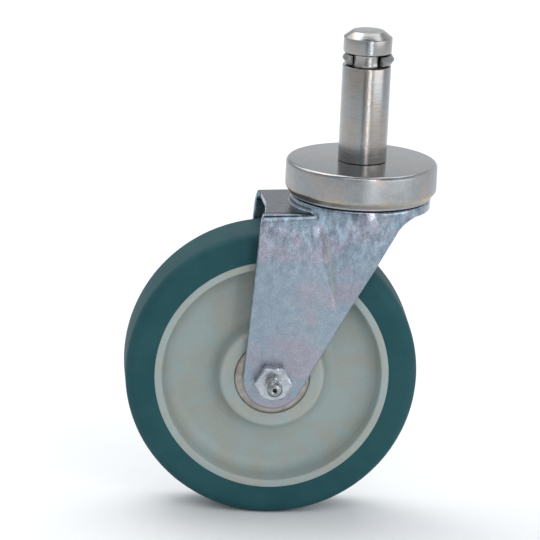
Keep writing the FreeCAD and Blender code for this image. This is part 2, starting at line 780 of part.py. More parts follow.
def make_axle_bolt():
    """The hollow axle bolt: grease runs from the fitting in its head to a cross hole under the rollers."""
    body = new_body("axle_bolt")
    end = f"-({NUT_FACE} + bolt_end_length - nut_hex_height - nut_collar_height + bolt_end_bevel)"
    socket_floor = f"({HEX_FACE} - fitting_shank_length - fitting_mouth_depth)"
    revolve(body, "bolt_bar", [
        ("grease_bore_radius", "-2 * grease_cross_radius"),
        ("grease_bore_radius", socket_floor),
        ("fitting_shank_radius + seat_play", socket_floor),
        ("fitting_shank_radius + seat_play", HEX_FACE),
        ("hex_across_flats / 2 - hex_face_bevel", HEX_FACE),
        ("hex_across_flats / 2 - hex_face_bevel", FORK_HALF_WIDTH),
        ("bolt_radius", FORK_HALF_WIDTH),
        ("bolt_radius", f"{end} + bolt_end_bevel"),
        ("bolt_radius - bolt_end_bevel", end),
        ("0", end),
        ("0", "-2 * grease_cross_radius"),
    ])
    sketch = new_sketch(body, "bolt_head_section", "XY_Plane", FORK_HALF_WIDTH)
    corners = []
    for i in range(6):
        corners.append((f"{HEX_CORNER} * cos({60 * i}deg)", f"{HEX_CORNER} * sin({60 * i}deg)"))
    corners = [("0" if abs(number(a)) < 1e-9 else a, "0" if abs(number(b)) < 1e-9 else b) for a, b in corners]
    draw_outline(sketch, corners)
    draw_circle(sketch, "0", "0", "fitting_shank_radius + seat_play")
    head = body.newObject("PartDesign::Pad", "bolt_head")
    head.Profile = sketch
    bind(head, "Length", "hex_head_height")
    doc.recompute()
    bevel_hex(body, "bolt_head_bevel", HEX_FACE, "hex_face_bevel")
    cross_hole(body, "bolt_grease_hole", "grease_cross_radius", "bolt_radius")
    lay_on_axle(body, "near")


def make_axle_nut():
    """The lock nut on the far side: a hexagon with a round collar that holds a plastic ring."""
    body = new_body("axle_nut")
    add_hexagon(body, "nut_hexagon", FORK_HALF_WIDTH, "nut_hex_height")
    revolve(body, "nut_collar", [
        ("bolt_radius + thread_play", NUT_HEX_FACE),
        ("nut_collar_radius", NUT_HEX_FACE),
        ("nut_collar_radius", NUT_FACE),
        ("nut_collar_radius - nut_collar_wall", NUT_FACE),
        ("nut_collar_radius - nut_collar_wall", NUT_HEX_FACE),
    ])
    bevel_hex(body, "nut_bevel", NUT_HEX_FACE, "hex_face_bevel")
    groove(body, "nut_bore", [
        ("0", FORK_HALF_WIDTH),
        ("bolt_radius + thread_play", FORK_HALF_WIDTH),
        ("bolt_radius + thread_play", NUT_HEX_FACE),
        ("0", NUT_HEX_FACE),
    ])
    lay_on_axle(body, "far")


def make_nut_insert():
    """The plastic locking ring inside the nut's collar."""
    body = new_body("nut_insert")
    revolve(body, "insert_ring", [
        ("bolt_radius + thread_play", f"{NUT_HEX_FACE} + seat_play"),
        ("nut_collar_radius - nut_collar_wall - seat_play", f"{NUT_HEX_FACE} + seat_play"),
        ("nut_collar_radius - nut_collar_wall - seat_play", f"{NUT_FACE} - nut_collar_wall / 2"),
        ("bolt_radius + thread_play", f"{NUT_FACE} - nut_collar_wall / 2"),
    ])
    lay_on_axle(body, "far")


def make_spanner_bushing():
    """The hard tube that the rollers run on, clamped between the legs by the bolt."""
    body = new_body("spanner_bushing")
    bore = "bolt_radius + bolt_hole_play / 2"
    revolve(body, "bushing_tube", [
        (bore, "fork_half_gap"),
        ("bushing_radius", "fork_half_gap"),
        ("bushing_radius", "-fork_half_gap"),
        (bore, "-fork_half_gap"),
    ])
    cross_hole(body, "bushing_grease_hole", "grease_cross_radius", "bushing_radius")
    lay_on_axle(body, "near")


def make_grease_fitting():
    """The grease fitting pressed into the bolt's head: ringed neck, button head and a ball seat inside."""
    body = new_body("grease_fitting")
    shank_end = f"({HEX_FACE} - fitting_shank_length)"
    base_top = f"({HEX_FACE} + fitting_base_height)"
    head_low = f"({FITTING_TIP} - fitting_head_length)"
    seat = f"({FITTING_TIP} - fitting_mouth_depth)"
    outline = [
        ("fitting_mouth_radius", shank_end),
        ("fitting_shank_radius", shank_end),
        ("fitting_shank_radius", HEX_FACE),
        ("fitting_base_radius", HEX_FACE),
        ("fitting_base_radius", base_top),
    ]
    ring_low = f"{base_top} + fitting_ring_height"
    for i in range(2):
        low = f"({ring_low} + {i} * fitting_ring_pitch)"
        outline += [
            ("fitting_neck_radius", low),
            ("fitting_ring_radius", f"{low} + fitting_ring_height / 3"),
            ("fitting_ring_radius", f"{low} + fitting_ring_height * 2 / 3"),
            ("fitting_neck_radius", f"{low} + fitting_ring_height"),
        ]
    outline += [
        ("fitting_neck_radius", head_low),
        ("fitting_head_radius", f"{head_low} + fitting_ring_height"),
        ("fitting_head_radius", f"{FITTING_TIP} - fitting_ring_height * 2"),
        ("fitting_tip_radius", FITTING_TIP),
        ("fitting_mouth_radius", FITTING_TIP),
        ("fitting_mouth_radius", seat),
        ("fitting_bore_radius", f"{seat} - fitting_bore_radius + fitting_mouth_radius"),
        ("fitting_bore_radius", f"{shank_end} + spring_wire"),
        ("fitting_mouth_radius", f"{shank_end} + spring_wire"),
    ]
    revolve(body, "fitting_bar", outline)
    lay_on_axle(body, "near")


def check_ball_height():
    """How far the check ball's centre lies from the wheel's middle plane when it rests on its seat."""
    slant = "(sqrt(2) * (check_ball_radius + seat_play))"
    return f"({FITTING_TIP} - fitting_mouth_depth + fitting_mouth_radius - {slant})"


def make_check_ball():
    """The ball that closes the grease fitting's mouth from inside."""
    ball = doc.addObject("Part::Sphere", "grease_check_ball")
    bind(ball, "Radius", "check_ball_radius")
    bind(ball, "Placement.Base.x", "-trail")
    bind(ball, "Placement.Base.y", f"-{check_ball_height()}")
    bind(ball, "Placement.Base.z", AXLE_HEIGHT)
    doc.recompute()


def make_grease_spring():
    """The small coil spring between the fitting's floor and the check ball, which sits in its last coil."""
    foot = f"({HEX_FACE} - fitting_shank_length + spring_wire * 3 / 2 + seat_play)"
    reach = "(check_ball_radius + spring_wire / 2 + seat_play)"
    nest = f"sqrt({reach} ^ 2 - spring_radius ^ 2)"
    length = f"({check_ball_height()} - {nest} - {foot})"
    helix = doc.addObject("Part::Helix", "spring_line")
    bind(helix, "Radius", "spring_radius")
    bind(helix, "Pitch", f"{length} / spring_turns")
    bind(helix, "Height", length)
    section = doc.addObject("Part::RegularPolygon", "spring_section")
    section.Polygon = 8
    section.Placement = FreeCAD.Placement(FreeCAD.Vector(), FreeCAD.Rotation(FreeCAD.Vector(1, 0, 0), 90))
    bind(section, "Circumradius", "spring_wire / 2")
    bind(section, "Placement.Base.x", "spring_radius")
    doc.recompute()
    spring = doc.addObject("Part::Sweep", "grease_spring")
    spring.Sections = [section]
    spring.Spine = (helix, ["Edge1"])
    spring.Solid = True
    spring.Frenet = True
    spring.Label = "grease_spring"
    spring.Placement = FreeCAD.Placement(FreeCAD.Vector(), FreeCAD.Rotation(FreeCAD.Vector(1, 0, 0), 90))
    bind(spring, "Placement.Base.x", "-trail")
    bind(spring, "Placement.Base.y", f"-{foot}")
    bind(spring, "Placement.Base.z", AXLE_HEIGHT)
    doc.recompute()


# Wheel and its roller bearing

def make_rollers():
    """The bearing's rollers, evenly round the bushing."""
    rollers = []
    count = int(number("roller_count"))
    for i in range(count):
        roller = doc.addObject("Part::Cylinder", f"roller_{i + 1}")
        lying = FreeCAD.Rotation(FreeCAD.Vector(1, 0, 0), 90)
        roller.Placement = FreeCAD.Placement(FreeCAD.Vector(), lying)
        bind(roller, "Radius", "roller_radius")
        bind(roller, "Height", "2 * roller_half_length")
        turn = f"{i} * 360deg / {count}"
        bind(roller, "Placement.Base.x", f"-trail + {ROLLER_PITCH} * cos({turn})")
        bind(roller, "Placement.Base.y", "roller_half_length")
        bind(roller, "Placement.Base.z", f"{AXLE_HEIGHT} + {ROLLER_PITCH} * sin({turn})")
        rollers.append(roller)
    group = doc.addObject("Part::Compound", "rollers")
    group.Label = "rollers"
    group.Links = rollers
    doc.recompute()


def make_roller_cage():
    """The cage: a thin tube with one window for each roller."""
    body = new_body("roller_cage")
    low = f"({ROLLER_PITCH} - cage_wall / 2)"
    high = f"({ROLLER_PITCH} + cage_wall / 2)"
    revolve(body, "cage_tube", [
        (low, CAGE_HALF_LENGTH),
        (high, CAGE_HALF_LENGTH),
        (high, f"-{CAGE_HALF_LENGTH}"),
        (low, f"-{CAGE_HALF_LENGTH}"),
    ])
    before = body.Shape.Volume
    sketch = new_sketch(body, "cage_window_section", "YZ_Plane")
    half_width = "(roller_radius + cage_window_play)"
    half_length = "(roller_half_length + cage_window_play)"
    draw_outline(sketch, [
        (half_width, half_length),
        (f"-{half_width}", half_length),
        (f"-{half_width}", f"-{half_length}"),
        (half_width, f"-{half_length}"),
    ])
    window = body.newObject("PartDesign::Pocket", "cage_window")
    window.Profile = sketch
    window.Reversed = True
    bind(window, "Length", f"{ROLLER_PITCH} + cage_wall")
    doc.recompute()
    check_cut(body, before)
    pattern = body.newObject("PartDesign::PolarPattern", "cage_windows")
    pattern.Originals = [window]
    pattern.Axis = (origin_plane(body, "Z_Axis"), [""])
    pattern.Angle = 360
    bind(pattern, "Occurrences", "roller_count")
    body.Tip = pattern
    doc.recompute()
    lay_on_axle(body, "near")


def make_bearing_sleeve():
    """The hard outer race that is pressed into the hub."""
    body = new_body("bearing_sleeve")
    revolve(body, "sleeve_tube", [
        (SLEEVE_BORE, "sleeve_half_length"),
        (SLEEVE_RADIUS, "sleeve_half_length"),
        (SLEEVE_RADIUS, "-sleeve_half_length"),
        (SLEEVE_BORE, "-sleeve_half_length"),
    ])
    lay_on_axle(body, "near")


def mirrored_section(half):
    """Close a section that runs from one end to the middle plane with its mirror image."""
    return half + [(radius, f"-{along}" if along != "0" else "0") for radius, along in reversed(half)]


def make_wheel_core():
    """The moulded core: long hub, dished web and a lipped rim with a key that holds the tread."""
    body = new_body("wheel_core")
    seat = f"({SLEEVE_RADIUS} + seat_play)"
    cap_seat = "(dust_cap_radius + seat_play)"
    cap_floor = f"({DUST_CAP_END} - seat_play)"
    lip_inner = f"({RIM_RADIUS} - rim_lip)"
    half = [
        (seat, cap_floor),
        (cap_seat, cap_floor),
        (cap_seat, "hub_half_length"),
        ("hub_radius", "hub_half_length"),
        ("hub_foot_radius", "web_half_thickness"),
        (RIM_FOOT_RADIUS, "web_half_thickness"),
        (lip_inner, "rim_half_width"),
        (RIM_RADIUS, "rim_half_width"),
        (RIM_RADIUS, "tread_key_half_width"),
        (f"{RIM_RADIUS} + tread_key_height", "tread_key_half_width"),
    ]
    revolve(body, "core_moulding", mirrored_section(half))

    def both(radius, along):
        return [(radius, along), (radius, f"-{along}")]

    web_share = f"({RIM_FOOT_RADIUS} - hub_foot_radius) * 0.45"
    hub_round = f"min(hub_foot_round, {web_share})"
    rim_round = f"min(rim_foot_round, {web_share})"
    round_rings(body, "hub_feet", both("hub_foot_radius", "web_half_thickness"), hub_round)
    round_rings(body, "rim_feet", both(RIM_FOOT_RADIUS, "web_half_thickness"), rim_round)
    round_rings(body, "hub_edges", both("hub_radius", "hub_half_length"), "hub_edge_round")
    round_rings(body, "lip_edges", both(lip_inner, "rim_half_width"), "rim_edge_round")
    lay_on_axle(body, "near")


def make_tread():
    """The tread moulded round the rim, with rounded shoulders."""
    body = new_body("tread")
    seat = f"({RIM_RADIUS} + seat_play)"
    key_seat = f"({RIM_RADIUS} + tread_key_height + seat_play)"
    key_side = "(tread_key_half_width + seat_play)"
    half = [
        (key_seat, key_side),
        (seat, key_side),
        (seat, "tread_half_width"),
        ("wheel_radius", "tread_half_width"),
    ]
    revolve(body, "tread_moulding", mirrored_section(half))
    shoulders = [("wheel_radius", "tread_half_width"), ("wheel_radius", "-tread_half_width")]
    round_rings(body, "tread_shoulders", shoulders, "tread_shoulder")
    lay_on_axle(body, "near")


def make_dust_cap(side):
    """A pressed cap that closes the hub: a flat ring with a skirt that is pushed into the core."""
    body = new_body("dust_cap_" + side)
    revolve(body, f"dust_cap_{side}_shell", [
        ("bushing_radius + 2 * bushing_play", DUST_CAP_INNER),
        ("bushing_radius + 2 * bushing_play", DUST_CAP_OUTER),
        ("dust_cap_radius", DUST_CAP_OUTER),
        ("dust_cap_radius", DUST_CAP_END),
        ("dust_cap_radius - dust_cap_sheet", DUST_CAP_END),
        ("dust_cap_radius - dust_cap_sheet", DUST_CAP_INNER),
    ])
    edge = [("dust_cap_radius", DUST_CAP_OUTER)]
    round_rings(body, f"dust_cap_{side}_edge", edge, "dust_cap_round")
    lay_on_axle(body, side)


def make_thrust_washer(side):
    """The washer between the bearing sleeve and the dust cap."""
    body = new_body("thrust_washer_" + side)
    revolve(body, f"thrust_washer_{side}_ring", [
        ("bushing_radius + bushing_play", WASHER_INNER),
        ("washer_radius", WASHER_INNER),
        ("washer_radius", WASHER_OUTER),
        ("bushing_radius + bushing_play", WASHER_OUTER),
    ])
    lay_on_axle(body, side)


make_stem()
make_grip_ring()
make_top_cap()
make_lower_race()
make_ball_row("main_balls", "main_ball_radius", "main_race_pitch", MAIN_BALL_HEIGHT)
make_ball_row("lower_balls", "lower_ball_radius", "lower_race_pitch", LOWER_BALL_HEIGHT)
make_fork()
make_axle_bolt()
make_axle_nut()
make_nut_insert()
make_spanner_bushing()
make_grease_fitting()
make_check_ball()
make_grease_spring()
make_rollers()
make_roller_cage()
make_bearing_sleeve()
make_wheel_core()
make_tread()
for side in ("near", "far"):
    make_dust_cap(side)
    make_thrust_washer(side)

NODES = [
    "stem", "grip_ring", "top_cap", "lower_race", "main_balls", "lower_balls", "fork", "axle_bolt", "axle_nut",
    "nut_insert", "spanner_bushing", "grease_fitting", "grease_check_ball", "grease_spring", "rollers",
    "roller_cage", "bearing_sleeve", "wheel_core", "tread", "dust_cap_near", "dust_cap_far",
    "thrust_washer_near", "thrust_washer_far",
]

doc.recompute()
for feature in doc.Objects:
    if "Invalid" in feature.State or "Error" in feature.State:
        raise ValueError(f"{feature.Label}: {feature.State}")
for node in NODES:
    shape = doc.getObjectsByLabel(node)[0].Shape
    if shape.isNull() or not shape.isValid():
        raise ValueError(node + ": no valid shape")
for node in NODES:
    shape = doc.getObjectsByLabel(node)[0].Shape
    shape.exportStep(f"parts/{node}.step")
    print(node, len(shape.Solids), round(shape.Volume, 1))
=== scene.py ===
import math

import bpy
import bmesh
from mathutils import Matrix, Vector


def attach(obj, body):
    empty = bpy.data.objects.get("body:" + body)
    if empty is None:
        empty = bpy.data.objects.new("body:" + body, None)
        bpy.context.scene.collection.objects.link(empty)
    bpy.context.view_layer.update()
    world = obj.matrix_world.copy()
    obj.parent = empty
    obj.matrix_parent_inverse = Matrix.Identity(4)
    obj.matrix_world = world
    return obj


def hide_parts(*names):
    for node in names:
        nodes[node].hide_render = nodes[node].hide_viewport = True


# Stem swivel caster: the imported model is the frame, and this script dresses it.
# Sizes are in millimetres and become metres when a mesh is made. Lights and the flag are placed in metres.
# The origin is on the swivel's axis at the cap's top, and the wheel trails towards -X.

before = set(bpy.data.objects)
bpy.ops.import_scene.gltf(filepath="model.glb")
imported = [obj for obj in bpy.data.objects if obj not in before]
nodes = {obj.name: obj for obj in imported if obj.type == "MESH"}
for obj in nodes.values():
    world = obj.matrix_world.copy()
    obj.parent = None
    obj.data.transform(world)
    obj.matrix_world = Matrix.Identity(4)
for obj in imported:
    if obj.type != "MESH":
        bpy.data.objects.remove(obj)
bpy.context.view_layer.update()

MM = 0.001

# Main places
TRAIL = 36.0
AXLE_DROP = 93.76
WHEEL_RADIUS = 63.5
FLOOR = -(AXLE_DROP + WHEEL_RADIUS)

# Stem and cap
STEM_TOP = 57.1
STEM_RADIUS = 10.5
GROOVE_RADIUS = 8.3
GROOVE_TOP = 47.9
GROOVE_BOTTOM = 42.1
SPIGOT_RADIUS = 6.35
PEEN_RADIUS = 9.6
PEEN_TOP = -19.1
PEEN_BOTTOM = -21.5
CAP_HOLE = 6.4
CAP_RADIUS = 32.8
CAP_INSIDE = 29.6
CAP_BOTTOM = -15.2
SHEET = 3.2

# Fork: the faces of its legs, to both sides of the middle, and of its flange
LEG_OUTSIDE = 23.6
LEG_INSIDE = 20.4
FLANGE_TOP = -15.6

# Marks pressed into the outside of both legs, at (x, z): the crease's two ends and the dimple's middle
CREASE = ((-15.5, -30.0), (-10.0, -62.0))
CREASE_DEPTH = 0.22
CREASE_WIDTH = 0.9
# The colour of the thin warm line painted along the crease in place of its reflection
CREASE_PAINT_COLOUR = (0.37, 0.335, 0.25)
DIMPLE = (-15.5, -25.5)
DIMPLE_DEPTH = 0.55
DIMPLE_WIDTH = 3.2
MARKS_TOP = -18.0
MARKS_INSIDE = 22.6

# Bolt and lock nut, measured along the axle from the wheel's middle
ACROSS_FLATS = 14.29
HEX_REACH = 8.4
HEX_SEAT = 23.62
HEX_START = 23.9
BEVEL_INSET = 0.315
BEVEL_SLOPE = math.radians(30)
HEAD_FACE = 29.8
NUT_FACE = 30.4
SHANK_RADIUS = 4.76
SHANK_TOP = 21.2
THREAD_START = -30.0
THREAD_END = -34.2
THREAD_STEP = 0.12
THREAD_PITCH = 1.588
THREAD_DEPTH = 0.8
BOLT_END = -34.8

# Grease fitting
CHANNEL_RADIUS = 0.95
FITTING_SHANK = 2.8
COLLAR_RADIUS = 3.7
RIB_RADIUS = 3.05
RIB_VALLEY = 2.6
NIPPLE_RADIUS = 3.3

# Wheel: radii, and distances from its middle
DUST_CAP_SEAT = 16.42
SEAT_FLOOR = 15.38
HUB_RADIUS = 22.6
HUB_FACE = 18.6
WEB_FACE = 5.8
RIM_RADIUS = 50.98
RIM_FACE = 16.0
RIDGE_RADIUS = 53.5
RIDGE_FACE = 4.0
TREAD_FACE = 15.9
TREAD_ROUNDING = 5.0
MOULD_GAP = 0.02
DUST_CAP_RADIUS = 16.4
DUST_CAP_FACE = 19.7
DUST_CAP_SHEET = 1.0


# Node helpers for the materials

def new_material(name):
    material = bpy.data.materials.new(name)
    material.use_nodes = True
    tree = material.node_tree
    tree.nodes.clear()
    output = tree.nodes.new("ShaderNodeOutputMaterial")
    shader = tree.nodes.new("ShaderNodeBsdfPrincipled")
    tree.links.new(shader.outputs["BSDF"], output.inputs["Surface"])
    return material, tree, shader


def place(tree, scale=(1, 1, 1), turn=(0, 0, 0)):
    """Object coordinates in millimetres, stretched by a scale and then turned by angles in radians."""
    coordinates = tree.nodes.new("ShaderNodeTexCoord")
    mapping = tree.nodes.new("ShaderNodeMapping")
    mapping.inputs["Scale"].default_value = [axis / MM for axis in scale]
    mapping.inputs["Rotation"].default_value = turn
    tree.links.new(coordinates.outputs["Object"], mapping.inputs["Vector"])
    return mapping.outputs["Vector"]


def noise(tree, vector, scale, detail=3.0, rough=0.55, distortion=0.0):
    node = tree.nodes.new("ShaderNodeTexNoise")
    node.inputs["Scale"].default_value = scale
    node.inputs["Detail"].default_value = detail
    node.inputs["Roughness"].default_value = rough
    node.inputs["Distortion"].default_value = distortion
    tree.links.new(vector, node.inputs["Vector"])
    return node.outputs["Fac"]


def ramp(tree, value, stops, smooth=False):
    """A colour ramp; each stop is (place, grey or colour)."""
    node = tree.nodes.new("ShaderNodeValToRGB")
    if smooth:
        node.color_ramp.interpolation = "EASE"
    elements = node.color_ramp.elements
    while len(elements) < len(stops):
        elements.new(0.5)
    for element, (position, colour) in zip(elements, stops):
        if not isinstance(colour, (tuple, list)):
            colour = (colour, colour, colour)
        element.position = position
        element.color = (*colour, 1.0)
    tree.links.new(value, node.inputs["Fac"])
    return node.outputs["Color"]


def blend_colours(tree, share, first, second, mode="MIX"):
    node = tree.nodes.new("ShaderNodeMix")
    node.data_type = "RGBA"
    node.blend_type = mode
    for socket, value in ((node.inputs[0], share), (node.inputs[6], first), (node.inputs[7], second)):
        if isinstance(value, bpy.types.NodeSocket):
            tree.links.new(value, socket)
        elif isinstance(value, (tuple, list)):
            socket.default_value = (*value, 1.0)
        else:
            socket.default_value = value
    return node.outputs[2]


def calculate(tree, operation, first, second=None, clamp=False):
    node = tree.nodes.new("ShaderNodeMath")
    node.operation = operation
    node.use_clamp = clamp
    for socket, value in zip(node.inputs, (first, second)):
        if value is None:
            continue
        if isinstance(value, bpy.types.NodeSocket):
            tree.links.new(value, socket)
        else:
            socket.default_value = value
    return node.outputs[0]


def spread(tree, value, low, high, to_low, to_high):
    """Map one range of a value onto another, clamped."""
    node = tree.nodes.new("ShaderNodeMapRange")
    tree.links.new(value, node.inputs["Value"])
    for name, number in zip(("From Min", "From Max", "To Min", "To Max"), (low, high, to_low, to_high)):
        node.inputs[name].default_value = number
    return node.outputs["Result"]


def bump(tree, shader, height, distance, strength=1.0):
    """Raise the look of the surface by a height times a distance in millimetres."""
    node = tree.nodes.new("ShaderNodeBump")
    node.inputs["Distance"].default_value = distance * MM
    node.inputs["Strength"].default_value = strength
    tree.links.new(height, node.inputs["Height"])
    tree.links.new(node.outputs["Normal"], shader.inputs["Normal"])


def separate(tree, vector):
    node = tree.nodes.new("ShaderNodeSeparateXYZ")
    tree.links.new(vector, node.inputs[0])
    return node.outputs


# Materials

def painted_crease_strength(tree, x, height, patches):
    """The strength of the thin warm line painted along the crease in place of its reflection, a straight line
    seen from the leg's side.
    """
    (x_high, z_high), (x_low, z_low) = CREASE
    width = x_low - x_high
    drop = z_low - z_high
    length = math.hypot(width, drop)
    from_x = calculate(tree, "MULTIPLY", calculate(tree, "SUBTRACT", x, x_high), drop / length)
    from_z = calculate(tree, "MULTIPLY", calculate(tree, "SUBTRACT", height, z_high), width / length)
    beside = calculate(tree, "ABSOLUTE", calculate(tree, "SUBTRACT", from_x, from_z))
    line = spread(tree, beside, 0.15, 0.8, 0.75, 0.0)
    line = calculate(tree, "MULTIPLY", line, spread(tree, height, z_low, z_low + 8, 0, 1))
    line = calculate(tree, "MULTIPLY", line, spread(tree, height, z_high - 5, z_high, 1, 0))
    return calculate(tree, "MULTIPLY", line, spread(tree, patches, 0.4, 0.6, 0.4, 1.0))


def zinc_plate(name, cool, lilac, warm, formed, smooth, painted_shade_on_top,
               warm_height=None, contrast=1.0, stained=0.4, with_painted_crease=False):
    """Pressed steel with zinc plating: cloudy tints, a fine grain, and blotches where it is drawn most.

    The warm stain lies in patches of the strength stained, and in a ring at warm_height. The blotches
    grow between the two heights in formed, and the skin gets smoother between the two in smooth. The
    tint of faces that look up is multiplied by painted_shade_on_top, a painted shade that stands in for the
    dark surroundings above that they reflect. When creased is set, a thin warm line is painted along the
    crease in place of its reflection. Heights are in mm.
    """
    material, tree, shader = new_material(name)
    shader.inputs["Metallic"].default_value = 1.0
    where = place(tree)
    x, _, height = separate(tree, where)
    clouds = noise(tree, where, 0.06, 3.0, 0.62)
    patches = noise(tree, place(tree, turn=(0.4, 0.7, 0.2)), 0.26, 4.0, 0.68)
    fine = noise(tree, where, 1.9, 3.0, 0.8)
    drawn = noise(tree, place(tree, (1.0, 1.0, 0.45), (0.0, 0.6, 0.0)), 0.34, 4.0, 0.75)
    drawing = spread(tree, height, formed[0], formed[1], 0.0, 1.0)
    tint = blend_colours(tree, ramp(tree, clouds, [(0.42, 0.0), (0.60, 1.0)], True), cool, lilac)
    stain = calculate(tree, "MULTIPLY", spread(tree, patches, 0.55, 0.72, 0.0, 1.0), stained)
    if warm_height is not None:
        distance = calculate(tree, "ABSOLUTE", calculate(tree, "SUBTRACT", height, warm_height))
        near_ring = spread(tree, distance, 0.4, 1.9, 0.9, 0.0)
        ring = calculate(tree, "MULTIPLY", near_ring, spread(tree, clouds, 0.4, 0.6, 0.35, 1.0))
        stain = calculate(tree, "ADD", stain, ring, clamp=True)
    tint = blend_colours(tree, stain, tint, warm)
    mottle = ramp(tree, patches, [(0.34, 0.82), (0.50, 1.0), (0.66, 1.14)])
    tint = blend_colours(tree, 0.55 * contrast, tint, mottle, "MULTIPLY")
    grain = ramp(tree, fine, [(0.34, 0.70), (0.50, 1.0), (0.68, 1.26)])
    tint = blend_colours(tree, 0.8 * contrast, tint, grain, "MULTIPLY")
    blotches = ramp(tree, drawn, [
        (0.34, (0.58, 0.63, 0.68)),
        (0.50, (0.98, 0.99, 1.0)),
        (0.66, (1.35, 1.42, 1.48)),
    ])
    tint = blend_colours(tree, drawing, tint, blotches, "MULTIPLY")
    # A thin warm line painted along the crease, standing in for its reflection
    if with_painted_crease:
        tint = blend_colours(tree, painted_crease_strength(tree, x, height, patches), tint, CREASE_PAINT_COLOUR)
    geometry = tree.nodes.new("ShaderNodeNewGeometry")
    # Painted shade: faces that look up are darkened, standing in for the dark surroundings above that they
    # reflect
    up = spread(tree, separate(tree, geometry.outputs["Normal"])[2], 0.75, 0.97, 1.0, painted_shade_on_top)
    tint = blend_colours(tree, 1.0, tint, up, "MULTIPLY")
    tree.links.new(tint, shader.inputs["Base Color"])
    skin = calculate(tree, "ADD", patches, calculate(tree, "MULTIPLY", fine, 0.6))
    rough = spread(tree, skin, 0.6, 1.05, 0.28, 0.44)
    smoother = spread(tree, height, smooth[0], smooth[1], 1.0, 0.45)
    tree.links.new(calculate(tree, "MULTIPLY", rough, smoother), shader.inputs["Roughness"])
    waves = calculate(tree, "MULTIPLY", calculate(tree, "MULTIPLY", drawn, drawing), 7.0)
    relief = calculate(tree, "MULTIPLY", calculate(tree, "ADD", fine, waves), smoother)
    bump(tree, shader, relief, 0.045 * contrast, 0.8)
    return material


def turned_steel():
    """Bright turned bar: fine tool rings round the axis, faint warm stain and small marks."""
    material, tree, shader = new_material("turned_steel")
    shader.inputs["Metallic"].default_value = 1.0
    where = place(tree)
    rings = noise(tree, place(tree, (0.02, 0.02, 1.0)), 5.0, 3.0, 0.75)
    stain = noise(tree, place(tree, (0.12, 0.12, 0.05)), 1.0, 3.0, 0.6)
    marks = noise(tree, where, 1.1, 3.0, 0.7)
    stained = ramp(tree, stain, [(0.35, 0.0), (0.65, 1.0)], True)
    tint = blend_colours(tree, stained, (0.32, 0.335, 0.34), (0.345, 0.315, 0.29))
    tint = blend_colours(tree, 0.8, tint, ramp(tree, rings, [(0.35, 0.82), (0.65, 1.15)]), "MULTIPLY")
    tint = blend_colours(tree, 0.7, tint, ramp(tree, marks, [(0.28, 0.72), (0.42, 1.0)]), "MULTIPLY")
    tree.links.new(tint, shader.inputs["Base Color"])
    rough = spread(tree, calculate(tree, "ADD", rings, marks), 0.7, 1.3, 0.11, 0.19)
    tree.links.new(rough, shader.inputs["Roughness"])
    bump(tree, shader, rings, 0.035, 0.9)
    return material


def machined(name, colour, low, high, scale=1.0, relief=0.015):
    """Small metal parts: one colour with slight clouds, a fine grain and a roughness between low and high."""
    material, tree, shader = new_material(name)
    shader.inputs["Metallic"].default_value = 1.0
    where = place(tree)
    clouds = noise(tree, where, 0.5 * scale, 2.0, 0.6)
    fine = noise(tree, where, 3.0 * scale, 2.0, 0.7)
    tint = blend_colours(tree, 0.9, colour, ramp(tree, clouds, [(0.3, 0.72), (0.7, 1.2)]), "MULTIPLY")
    tree.links.new(tint, shader.inputs["Base Color"])
    rough = spread(tree, calculate(tree, "ADD", clouds, fine), 0.7, 1.3, low, high)
    tree.links.new(rough, shader.inputs["Roughness"])
    bump(tree, shader, fine, relief, 0.7)
    return material


def core_plastic():
    """Moulded plastic, grey with a touch of green, with faint flow clouds and a satin skin."""
    material, tree, shader = new_material("core_plastic")
    shader.inputs["IOR"].default_value = 1.5
    where = place(tree)
    flow = noise(tree, place(tree, (1, 0.4, 1)), 0.06, 3.0, 0.6, 0.8)
    fine = noise(tree, where, 1.2, 3.0, 0.7)
    share = ramp(tree, flow, [(0.38, 0.0), (0.62, 1.0)], True)
    tint = blend_colours(tree, share, (0.282, 0.342, 0.334), (0.302, 0.322, 0.292))
    tint = blend_colours(tree, 0.5, tint, ramp(tree, fine, [(0.3, 0.86), (0.7, 1.10)]), "MULTIPLY")
    tree.links.new(tint, shader.inputs["Base Color"])
    tree.links.new(spread(tree, flow, 0.3, 0.7, 0.36, 0.5), shader.inputs["Roughness"])
    shader.inputs["Specular IOR Level"].default_value = 0.4
    bump(tree, shader, fine, 0.02, 0.6)
    return material


def tread_rubber():
    """Matt teal tread with a fine moulded skin."""
    material, tree, shader = new_material("tread_rubber")
    where = place(tree)
    clouds = noise(tree, where, 0.08, 2.0, 0.6)
    fine = noise(tree, where, 2.2, 3.0, 0.7)
    share = ramp(tree, clouds, [(0.35, 0.0), (0.65, 1.0)], True)
    tint = blend_colours(tree, share, (0.012, 0.062, 0.072), (0.016, 0.070, 0.080))
    tint = blend_colours(tree, 0.6, tint, ramp(tree, fine, [(0.3, 0.78), (0.7, 1.2)]), "MULTIPLY")
    tree.links.new(tint, shader.inputs["Base Color"])
    tree.links.new(spread(tree, fine, 0.3, 0.7, 0.55, 0.70), shader.inputs["Roughness"])
    shader.inputs["Specular IOR Level"].default_value = 0.15
    bump(tree, shader, fine, 0.03, 0.6)
    return material


def nylon():
    material, tree, shader = new_material("nylon")
    where = place(tree)
    clouds = noise(tree, where, 0.6, 3.0, 0.6)
    tint = blend_colours(tree, clouds, (0.62, 0.64, 0.62), (0.70, 0.70, 0.66))
    tree.links.new(tint, shader.inputs["Base Color"])
    tree.links.new(spread(tree, clouds, 0.3, 0.7, 0.3, 0.42), shader.inputs["Roughness"])
    shader.inputs["Subsurface Weight"].default_value = 0.1
    bump(tree, shader, clouds, 0.02, 0.5)
    return material


